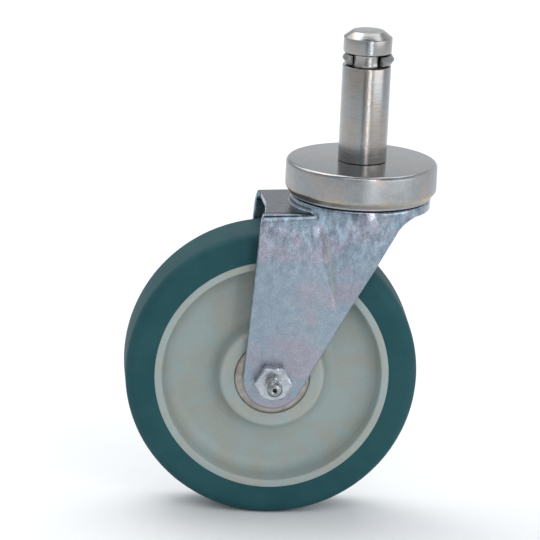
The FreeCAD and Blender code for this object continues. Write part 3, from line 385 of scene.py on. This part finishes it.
def floor_paint():
    material, tree, shader = new_material("studio_floor")
    clouds = noise(tree, place(tree), 0.004, 2.0, 0.5)
    tint = blend_colours(tree, clouds, (0.86, 0.86, 0.86), (0.88, 0.88, 0.88))
    tree.links.new(tint, shader.inputs["Base Color"])
    shader.inputs["Roughness"].default_value = 0.9
    shader.inputs["Specular IOR Level"].default_value = 0.1
    return material


def flag_cloth():
    material, tree, shader = new_material("flag_cloth")
    weave = noise(tree, place(tree), 0.5, 2.0, 0.5)
    tree.links.new(ramp(tree, weave, [(0.3, 0.02), (0.7, 0.04)]), shader.inputs["Base Color"])
    shader.inputs["Roughness"].default_value = 0.9
    return material


MATERIALS = {
    # Fork: painted shade on its up-facing faces, and a painted reflection line along its crease
    "fork_zinc": zinc_plate("fork_zinc", cool=(0.255, 0.315, 0.37), lilac=(0.305, 0.305, 0.36),
                            warm=(0.355, 0.335, 0.325), formed=(-58.0, -28.0), smooth=(-31.0, -24.0),
                            painted_shade_on_top=0.22, with_painted_crease=True),
    # Cap: painted shade on its up-facing top
    "cap_zinc": zinc_plate("cap_zinc", cool=(0.305, 0.32, 0.33), lilac=(0.355, 0.33, 0.32),
                           warm=(0.46, 0.36, 0.25), formed=(30.0, 60.0), smooth=(-1.8, -0.8),
                           painted_shade_on_top=0.85, warm_height=-12.4, contrast=0.7, stained=0.12),
    "turned_steel": turned_steel(),
    "ring_steel": machined("ring_steel", (0.24, 0.24, 0.235), 0.28, 0.42),
    "bolt_zinc": machined("bolt_zinc", (0.42, 0.45, 0.49), 0.20, 0.32, relief=0.005),
    "fitting_zinc": machined("fitting_zinc", (0.28, 0.30, 0.31), 0.16, 0.26, relief=0.004),
    "dust_cap_steel": machined("dust_cap_steel", (0.32, 0.295, 0.275), 0.26, 0.4, 0.6),
    "race_steel": machined("race_steel", (0.30, 0.30, 0.31), 0.25, 0.4),
    # Near black: painted shadow for the check ball deep in the fitting's dark hole
    "painted_shadow_steel": machined("painted_shadow_steel", (0.03, 0.03, 0.028), 0.3, 0.45, relief=0.004),
    "ball_steel": machined("ball_steel", (0.58, 0.58, 0.60), 0.08, 0.18, relief=0.004),
    "nylon": nylon(),
    "core_plastic": core_plastic(),
    "tread_rubber": tread_rubber(),
}


# Mesh helpers

def rounded(corners, step=0.35):
    """Turn (radius, height[, rounding]) corners into a line whose corners are arcs."""
    count = len(corners)
    line = []
    for i, corner in enumerate(corners):
        here = Vector(corner[:2])
        size = corner[2] if len(corner) > 2 else 0.0
        before = Vector(corners[i - 1][:2]) - here
        after = Vector(corners[(i + 1) % count][:2]) - here
        angle = before.angle(after) if size else math.pi
        if not size or abs(math.pi - angle) < 0.02:
            line.append(here)
            continue
        cut = size / math.tan(angle / 2)
        cut = min(cut, before.length * 0.499, after.length * 0.499)
        size = cut * math.tan(angle / 2)
        start = here + before.normalized() * cut
        end = here + after.normalized() * cut
        bisector = (before.normalized() + after.normalized()).normalized()
        centre = here + bisector * (size / math.sin(angle / 2))
        sweep = math.pi - angle
        steps = max(4, min(24, int(size * sweep / step) + 1))
        first = start - centre
        last = end - centre
        turn = math.copysign(sweep, first.x * last.y - first.y * last.x)
        for k in range(steps + 1):
            rotation = turn * k / steps
            cos_turn = math.cos(rotation)
            sin_turn = math.sin(rotation)
            across = first.x * cos_turn - first.y * sin_turn
            along = first.x * sin_turn + first.y * cos_turn
            line.append(centre + Vector((across, along)))
    return line


def finish_mesh(name, mesh_data, material, sharp=35.0):
    """Make a smooth-shaded object from a bmesh in metres."""
    bmesh.ops.recalc_face_normals(mesh_data, faces=mesh_data.faces)
    mesh = bpy.data.meshes.new(name)
    mesh_data.to_mesh(mesh)
    mesh_data.free()
    mesh.shade_smooth()
    mesh.set_sharp_from_angle(angle=math.radians(sharp))
    mesh.materials.append(MATERIALS[material])
    piece = bpy.data.objects.new(name, mesh)
    bpy.context.scene.collection.objects.link(piece)
    return piece


def axle_frame(side):
    """The matrix that lays a piece turned about Z on the axle, towards the near (-Y) or far (+Y) side."""
    tilt = math.radians(90 if side == "near" else -90)
    return Matrix.Translation((-TRAIL * MM, 0, -AXLE_DROP * MM)) @ Matrix.Rotation(tilt, 4, "X")


def turned(name, corners, material, lay=None, segments=160, step=0.35, radius_at=None, sharp=35.0):
    """Turn a closed outline round the Z axis. radius_at may change a radius by angle and height."""
    line = rounded(corners, step)
    mesh_data = bmesh.new()
    rings = []
    for point in line:
        if point.x < 1e-6:
            rings.append([mesh_data.verts.new((0, 0, point.y * MM))])
            continue
        ring = []
        for k in range(segments):
            angle = 2 * math.pi * k / segments
            radius = point.x
            if radius_at:
                radius = radius_at(radius, point.y, angle)
            x = radius * math.cos(angle)
            y = radius * math.sin(angle)
            ring.append(mesh_data.verts.new((x * MM, y * MM, point.y * MM)))
        rings.append(ring)
    for i, ring in enumerate(rings):
        following = rings[(i + 1) % len(rings)]
        if len(ring) == 1 and len(following) == 1:
            continue
        for k in range(segments):
            after = (k + 1) % segments
            here_pair = [ring[k % len(ring)], ring[after % len(ring)]]
            following_pair = [following[after % len(following)], following[k % len(following)]]
            unique = list(dict.fromkeys(here_pair + following_pair))
            if len(unique) > 2:
                mesh_data.faces.new(unique)
    if lay is not None:
        mesh_data.transform(lay)
    return finish_mesh(name, mesh_data, material, sharp)


def turn_to_flat(angle):
    """How far an angle is from the middle of its flat, with flats at the top and bottom."""
    sixth = math.pi / 3
    return (angle + sixth / 2 + math.pi / 2) % sixth - sixth / 2


def hexagon_radius(face):
    """A radius rule that makes a hexagonal head with a conical bevel at its outer face."""
    inner = ACROSS_FLATS / 2

    def rule(radius, height, angle):
        if radius < inner - 0.01 or height < HEX_START - 0.001:
            return radius
        flat = inner / math.cos(turn_to_flat(angle))
        cone = inner - BEVEL_INSET + (face - height) / math.tan(BEVEL_SLOPE)
        return min(flat, cone)
    return rule


# Head pieces

def dress_stem():
    stem = turned("stem_dressed", [
        (0, STEM_TOP),
        (6.9, STEM_TOP, 0.8),
        (STEM_RADIUS, 54.4, 0.5),
        (STEM_RADIUS, GROOVE_TOP, 0.35),
        (GROOVE_RADIUS, GROOVE_TOP, 1.6),
        (GROOVE_RADIUS, GROOVE_BOTTOM, 1.6),
        (STEM_RADIUS, GROOVE_BOTTOM, 0.35),
        (STEM_RADIUS, 0.25, 0.2),
        (10.1, 0.0),
        (SPIGOT_RADIUS, 0.0),
        (SPIGOT_RADIUS, PEEN_TOP),
        (PEEN_RADIUS, PEEN_TOP, 0.5),
        (PEEN_RADIUS, PEEN_BOTTOM, 1.4),
        (0, PEEN_BOTTOM),
    ], "turned_steel", segments=256)
    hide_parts("stem")
    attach(stem, "stem_head")


def dress_grip_ring():
    """Sweep the crowned section round most of a circle, closed with rounded ends."""
    section = rounded([
        (9.1, -2.1, 0.25),
        (9.9, -2.1, 0.35),
        (11.3, 0.0, 0.7),
        (9.9, 2.1, 0.35),
        (9.1, 2.1, 0.25),
    ], 0.12)
    middle = Vector((9.95, 0.0))
    ring_height = (GROOVE_TOP + GROOVE_BOTTOM) / 2
    off_centre = 0.5
    half_gap = math.radians(42.0)
    gap_turn = math.radians(-11.0)
    end_shrink = 0.2
    end_length = 0.02
    end_steps = 5
    steps = 150
    mesh_data = bmesh.new()
    rings = []
    start = -math.pi / 2 + gap_turn + half_gap
    sweep = 2 * math.pi - 2 * half_gap
    for k in range(-end_steps, steps + end_steps + 1):
        share = min(max(k / steps, 0), 1)
        past_end = max(-k, k - steps, 0) / end_steps
        shrink = 1 - end_shrink + end_shrink * math.sqrt(1 - past_end ** 2)
        stretch = math.copysign(math.sin(math.pi / 2 * past_end) * end_length, k)
        angle = start + sweep * share + stretch
        ring = []
        for point in section:
            inside = middle + (point - middle) * shrink
            x = inside.x * math.cos(angle) + off_centre
            y = inside.x * math.sin(angle)
            ring.append(mesh_data.verts.new((x * MM, y * MM, (ring_height + inside.y) * MM)))
        rings.append(ring)
    for first, second in zip(rings, rings[1:]):
        for k in range(len(first)):
            after = (k + 1) % len(first)
            mesh_data.faces.new([first[k], first[after], second[after], second[k]])
    mesh_data.faces.new(rings[0])
    mesh_data.faces.new(rings[-1])
    ring_piece = finish_mesh("grip_ring_dressed", mesh_data, "ring_steel", 50.0)
    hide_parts("grip_ring")
    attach(ring_piece, "stem_head")


def dress_cap():
    cap = turned("top_cap_dressed", [
        (CAP_HOLE, 0),
        (CAP_RADIUS, 0, 1.7),
        (CAP_RADIUS, -12.0, 2.4),
        (30.8, -14.4, 0.3),
        (30.8, CAP_BOTTOM, 0.3),
        (28.6, CAP_BOTTOM, 0.3),
        (28.6, -14.2),
        (CAP_INSIDE, -11.6),
        (CAP_INSIDE, -SHEET, 1.5),
        (26.4, -SHEET),
        (24.6, -2.5, 0.5),
        (20.2, -2.5, 0.5),
        (18.4, -SHEET),
        (CAP_HOLE, -SHEET),
    ], "cap_zinc", segments=288)
    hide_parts("top_cap")
    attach(cap, "stem_head")


# Fork

def press_marks(mesh):
    """Sink the crease beside the flare and the dimple at the hood's corner into the outside of both legs."""
    crease_top = Vector(CREASE[0])
    crease = Vector(CREASE[1]) - crease_top
    dimple = Vector(DIMPLE)
    for vertex in mesh.vertices:
        x, y, z = vertex.co / MM
        if abs(y) < MARKS_INSIDE or z > MARKS_TOP:
            continue
        spot = Vector((x, z)) - crease_top
        along = min(max(spot.dot(crease) / crease.length_squared, 0.0), 1.0)
        beside = (spot - crease * along).length
        fade = math.sin(math.pi * min(max(along, 0.02), 0.98)) ** 0.5
        depth = CREASE_DEPTH * fade * math.exp(-(beside / CREASE_WIDTH) ** 2)
        from_dimple = (Vector((x, z)) - dimple).length
        depth += DIMPLE_DEPTH * math.exp(-(from_dimple / DIMPLE_WIDTH) ** 2)
        vertex.co.y = (y - math.copysign(depth, y)) * MM


def dress_fork():
    """Round the fork's edges and creases: remesh a copy finely, relax it, and put the flat faces back."""
    source = nodes["fork"]
    mesh = source.data.copy()
    fork = bpy.data.objects.new("fork_dressed", mesh)
    bpy.context.scene.collection.objects.link(fork)
    voxel = 0.42
    remesh = fork.modifiers.new("even_faces", "REMESH")
    remesh.mode = "VOXEL"
    remesh.voxel_size = voxel * MM
    remesh.use_smooth_shade = True
    relax = fork.modifiers.new("rounded_edges", "SMOOTH")
    relax.factor = 0.5
    relax.iterations = 12
    bpy.context.view_layer.update()
    shaped = bpy.data.meshes.new_from_object(fork.evaluated_get(bpy.context.evaluated_depsgraph_get()))
    fork.modifiers.clear()
    fork.data = shaped
    # Each flat face as the number of its axis and its place on it
    flat_faces = [
        (1, LEG_OUTSIDE),
        (1, -LEG_OUTSIDE),
        (1, LEG_INSIDE),
        (1, -LEG_INSIDE),
        (2, FLANGE_TOP),
    ]
    near_enough = 0.12
    facing_enough = 0.96
    normals = [vertex.normal.copy() for vertex in shaped.vertices]
    for vertex, normal in zip(shaped.vertices, normals):
        for axis, face_place in flat_faces:
            is_near = abs(vertex.co[axis] / MM - face_place) < near_enough
            if is_near and abs(normal[axis]) > facing_enough:
                vertex.co[axis] = face_place * MM
    press_marks(shaped)
    shaped.shade_smooth()
    shaped.materials.clear()
    shaped.materials.append(MATERIALS["fork_zinc"])
    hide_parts("fork")
    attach(fork, "fork_assembly")


# Axle pieces

def thread_radius(radius, height, angle):
    """A radius rule that cuts a thread into the bolt's end."""
    if radius < SHANK_RADIUS - 0.01 or height > THREAD_START:
        return radius
    turns = (height / THREAD_PITCH + angle / (2 * math.pi)) % 1.0
    return radius - THREAD_DEPTH * abs(turns - 0.5) * 2


def dress_bolt():
    head = turned("bolt_head_dressed", [
        (0, HEAD_FACE),
        (5.9, HEAD_FACE, 0.2),
        (HEX_REACH, HEAD_FACE),
        (HEX_REACH, 29.5),
        (HEX_REACH, 29.2),
        (HEX_REACH, 28.9),
        (HEX_REACH, 28.5),
        (HEX_REACH, 24.3),
        (HEX_REACH, 24.0, 0.2),
        (7.2, HEX_SEAT),
        (0, HEX_SEAT),
    ], "bolt_zinc", axle_frame("near"), 360, radius_at=hexagon_radius(HEAD_FACE), sharp=25.0)
    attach(head, "fork_assembly")
    thread_line = []
    level = THREAD_START
    while level > THREAD_END:
        thread_line.append((SHANK_RADIUS, level))
        level -= THREAD_STEP
    shank = turned("bolt_shank_dressed", [
        (SHANK_RADIUS, SHANK_TOP),
        *thread_line,
        (3.9, BOLT_END),
        (0, BOLT_END),
        (0, SHANK_TOP),
    ], "bolt_zinc", axle_frame("near"), 96, radius_at=thread_radius)
    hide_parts("axle_bolt")
    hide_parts("axle_bolt")
    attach(shank, "fork_assembly")


def dress_nut():
    nut = turned("axle_nut_dressed", [
        (4.8, HEX_SEAT),
        (7.1, HEX_SEAT),
        (HEX_REACH, 24.0),
        (HEX_REACH, 24.4),
        (HEX_REACH, 29.2),
        (HEX_REACH, 29.6),
        (HEX_REACH, 30.0),
        (HEX_REACH, NUT_FACE),
        (6.6, NUT_FACE, 0.3),
        (6.3, 32.2, 0.5),
        (5.5, 32.8, 0.3),
        (5.5, 31.9),
        (4.8, 31.9),
    ], "bolt_zinc", axle_frame("far"), 360, radius_at=hexagon_radius(NUT_FACE), sharp=25.0)
    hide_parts("axle_nut")
    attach(nut, "fork_assembly")


def dress_fitting():
    fitting = turned("grease_fitting_dressed", [
        (CHANNEL_RADIUS, 25.0),
        (FITTING_SHANK, 25.0),
        (FITTING_SHANK, HEAD_FACE),
        (COLLAR_RADIUS, HEAD_FACE, 0.15),
        (COLLAR_RADIUS, 31.2, 0.3),
        (RIB_VALLEY, 31.6, 0.2),
        (RIB_VALLEY, 31.8, 0.1),
        (RIB_RADIUS, 32.1, 0.15),
        (RIB_RADIUS, 32.35, 0.15),
        (RIB_VALLEY, 32.7, 0.2),
        (RIB_VALLEY, 33.0, 0.2),
        (RIB_RADIUS, 33.3, 0.15),
        (RIB_RADIUS, 33.55, 0.15),
        (2.45, 33.9, 0.4),
        (2.35, 35.6, 0.5),
        (NIPPLE_RADIUS, 36.4, 0.5),
        (NIPPLE_RADIUS, 37.6, 0.7),
        (2.5, 38.7, 0.4),
        (1.6, 38.9, 0.2),
        (CHANNEL_RADIUS, 38.75, 0.1),
        (CHANNEL_RADIUS, 37.0),
    ], "fitting_zinc", axle_frame("near"), 96, step=0.12)
    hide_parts("grease_fitting")
    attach(fitting, "fork_assembly")


# Wheel pieces

def mirrored(half):
    """Close an outline that runs from one side to the middle with its mirror image."""
    return half + [(corner[0], -corner[1], *corner[2:]) for corner in reversed(half)]


def dress_core():
    core = turned("wheel_core_dressed", mirrored([
        (14.3, SEAT_FLOOR),
        (DUST_CAP_SEAT, SEAT_FLOOR),
        (DUST_CAP_SEAT, HUB_FACE, 0.3),
        (HUB_RADIUS, HUB_FACE, 2.4),
        (24.6, WEB_FACE, 5.4),
        (45.4, WEB_FACE, 7.0),
        (47.8, RIM_FACE, 0.8),
        (RIM_RADIUS, RIM_FACE, 0.25),
        (RIM_RADIUS, RIDGE_FACE),
        (RIDGE_RADIUS, RIDGE_FACE),
    ]), "core_plastic", axle_frame("near"), 320, step=0.5)
    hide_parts("wheel_core")
    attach(core, "wheel")


def dress_tread():
    tread = turned("tread_dressed", mirrored([
        (RIDGE_RADIUS + MOULD_GAP, RIDGE_FACE + MOULD_GAP),
        (RIM_RADIUS + MOULD_GAP, RIDGE_FACE + MOULD_GAP),
        (RIM_RADIUS + MOULD_GAP, TREAD_FACE, 0.3),
        (WHEEL_RADIUS, TREAD_FACE, TREAD_ROUNDING),
        (WHEEL_RADIUS, 0.4),
    ]), "tread_rubber", axle_frame("near"), 360, step=0.5)
    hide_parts("tread")
    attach(tread, "wheel")


def dress_dust_cap(side):
    cap = turned("dust_cap_" + side + "_dressed", [
        (8.55, DUST_CAP_FACE - DUST_CAP_SHEET),
        (8.55, DUST_CAP_FACE, 0.2),
        (DUST_CAP_RADIUS, DUST_CAP_FACE, 1.7),
        (DUST_CAP_RADIUS, 15.4),
        (DUST_CAP_RADIUS - DUST_CAP_SHEET, 15.4),
        (DUST_CAP_RADIUS - DUST_CAP_SHEET, DUST_CAP_FACE - DUST_CAP_SHEET, 0.3),
    ], "dust_cap_steel", axle_frame(side), 192, step=0.2)
    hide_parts("dust_cap_" + side)
    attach(cap, "wheel")


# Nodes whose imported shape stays, with a better material
KEPT = {
    "lower_race": "race_steel",
    "main_balls": "ball_steel",
    "lower_balls": "ball_steel",
    "nut_insert": "nylon",
    "spanner_bushing": "race_steel",
    # The check ball is coloured near black as painted shadow for the fitting's dark hole
    "grease_check_ball": "painted_shadow_steel",
    "grease_spring": "ring_steel",
    "rollers": "ball_steel",
    "roller_cage": "race_steel",
    "bearing_sleeve": "race_steel",
    "thrust_washer_near": "race_steel",
    "thrust_washer_far": "race_steel",
}


def dress_kept_nodes():
    for name, material in KEPT.items():
        slots = nodes[name].data.materials
        slots.clear()
        slots.append(MATERIALS[material])


# Stage, lights and camera

def set_floor():
    mesh_data = bmesh.new()
    bmesh.ops.create_grid(mesh_data, x_segments=2, y_segments=2, size=6.0)
    bmesh.ops.translate(mesh_data, verts=mesh_data.verts, vec=(0, 0, FLOOR * MM))
    mesh = bpy.data.meshes.new("studio_floor")
    mesh_data.to_mesh(mesh)
    mesh_data.free()
    mesh.materials.append(floor_paint())
    floor = bpy.data.objects.new("studio_floor", mesh)
    bpy.context.scene.collection.objects.link(floor)


def set_world():
    """Soft room light: bright low down, dark overhead, lighter towards +X, and dimmer in reflections.

    The picture's background is white.
    """
    world = bpy.data.worlds.new("studio")
    bpy.context.scene.world = world
    world.use_nodes = True
    tree = world.node_tree
    tree.nodes.clear()
    output = tree.nodes.new("ShaderNodeOutputWorld")
    shader = tree.nodes.new("ShaderNodeBackground")
    coordinates = tree.nodes.new("ShaderNodeTexCoord")
    direction = separate(tree, coordinates.outputs["Generated"])
    shade = ramp(tree, direction[2], [
        (0.0, (0.94, 0.98, 1.0)),
        (0.42, (0.90, 0.94, 0.98)),
        (0.78, (0.51, 0.54, 0.58)),
        (0.90, (0.06, 0.08, 0.11)),
    ])
    sideways = spread(tree, direction[0], -0.8, 0.8, 0.78, 1.22)
    shade = blend_colours(tree, 1.0, shade, sideways, "MULTIPLY")
    path = tree.nodes.new("ShaderNodeLightPath")
    reflected = spread(tree, path.outputs["Is Glossy Ray"], 0.0, 1.0, 1.0, 0.84)
    shade = blend_colours(tree, 1.0, shade, reflected, "MULTIPLY")
    colour = blend_colours(tree, path.outputs["Is Camera Ray"], shade, (1.0, 1.0, 1.0))
    tree.links.new(colour, shader.inputs["Color"])
    shader.inputs["Strength"].default_value = 1.0
    tree.links.new(shader.outputs["Background"], output.inputs["Surface"])


def add_softbox(name, spot, aim, size, power):
    """A rectangular soft light at a spot, aimed at a point. Lengths are in metres and power is in watts."""
    light = bpy.data.lights.new(name, "AREA")
    light.shape = "RECTANGLE"
    light.size = size[0]
    light.size_y = size[1]
    light.energy = power
    lamp = bpy.data.objects.new(name, light)
    lamp.location = spot
    lamp.rotation_euler = (Vector(aim) - Vector(spot)).to_track_quat("-Z", "Y").to_euler()
    lamp.visible_camera = False
    bpy.context.scene.collection.objects.link(lamp)


def add_flag(name, spot, width, height):
    """A dark upright panel that is only seen in reflections, and gives the turned stem its dark band."""
    mesh_data = bmesh.new()
    corners = [(-width / 2, 0, 0), (width / 2, 0, 0), (width / 2, 0, height), (-width / 2, 0, height)]
    mesh_data.faces.new([mesh_data.verts.new(corner) for corner in corners])
    mesh_data.transform(Matrix.Translation(spot) @ Matrix.Rotation(math.atan2(spot[0], -spot[1]), 4, "Z"))
    mesh = bpy.data.meshes.new(name)
    mesh_data.to_mesh(mesh)
    mesh_data.free()
    mesh.materials.append(flag_cloth())
    flag = bpy.data.objects.new(name, mesh)
    flag.visible_camera = False
    flag.visible_diffuse = False
    flag.visible_shadow = False
    bpy.context.scene.collection.objects.link(flag)


def set_lights():
    middle = (-0.03, 0, -0.05)
    stem_middle = (0, 0, 0.03)
    floor_behind = (0.0, 1.2, -0.15)
    add_softbox("key_behind_left", spot=(-0.9, 0.66, 1.38), aim=middle, size=(1.5, 1.5), power=9)
    add_softbox("floor_wash", spot=(0.0, 1.3, 2.4), aim=floor_behind, size=(3.0, 2.4), power=46)
    add_softbox("front_high", spot=(-0.1, -0.85, 0.90), aim=middle, size=(1.1, 0.8), power=2.4)
    add_softbox("right_front", spot=(1.0, -0.7, 0.02), aim=middle, size=(1.1, 0.3), power=2.0)
    add_softbox("stem_strip", spot=(0.108, -0.43, 0.10), aim=stem_middle, size=(0.026, 0.5), power=0.34)
    add_flag("studio_flag", spot=(-0.075, -0.45, -0.15), width=0.05, height=0.26)


def set_camera():
    """The camera at the photograph's viewing angle, found by fitting the object's outlines."""
    azimuth = math.radians(-4.12)
    elevation = math.radians(15.3)
    roll = math.radians(2.61)
    distance = 1.8
    back = Vector((
        math.sin(azimuth) * math.cos(elevation),
        -math.cos(azimuth) * math.cos(elevation),
        math.sin(elevation),
    ))
    target = Vector((-37.69, 0, -50.66)) * MM
    right = (-back).cross(Vector((0, 0, 1))).normalized()
    up = right.cross(-back)
    camera_right = right * math.cos(roll) + up * math.sin(roll)
    camera_up = up * math.cos(roll) - right * math.sin(roll)
    turn = Matrix((camera_right, camera_up, back)).transposed().to_4x4()
    camera = bpy.data.cameras.new("camera")
    camera.sensor_width = 36.0
    camera.lens = 275.67
    camera.clip_end = 50.0
    holder = bpy.data.objects.new("camera", camera)
    holder.matrix_world = Matrix.Translation(target + back * distance) @ turn
    bpy.context.scene.collection.objects.link(holder)
    bpy.context.scene.camera = holder


dress_stem()
dress_grip_ring()
dress_cap()
dress_fork()
dress_bolt()
dress_nut()
dress_fitting()
dress_core()
dress_tread()
dress_dust_cap("near")
dress_dust_cap("far")
dress_kept_nodes()
set_floor()
set_world()
set_lights()
set_camera()
bpy.context.scene.view_settings.view_transform = "Standard"
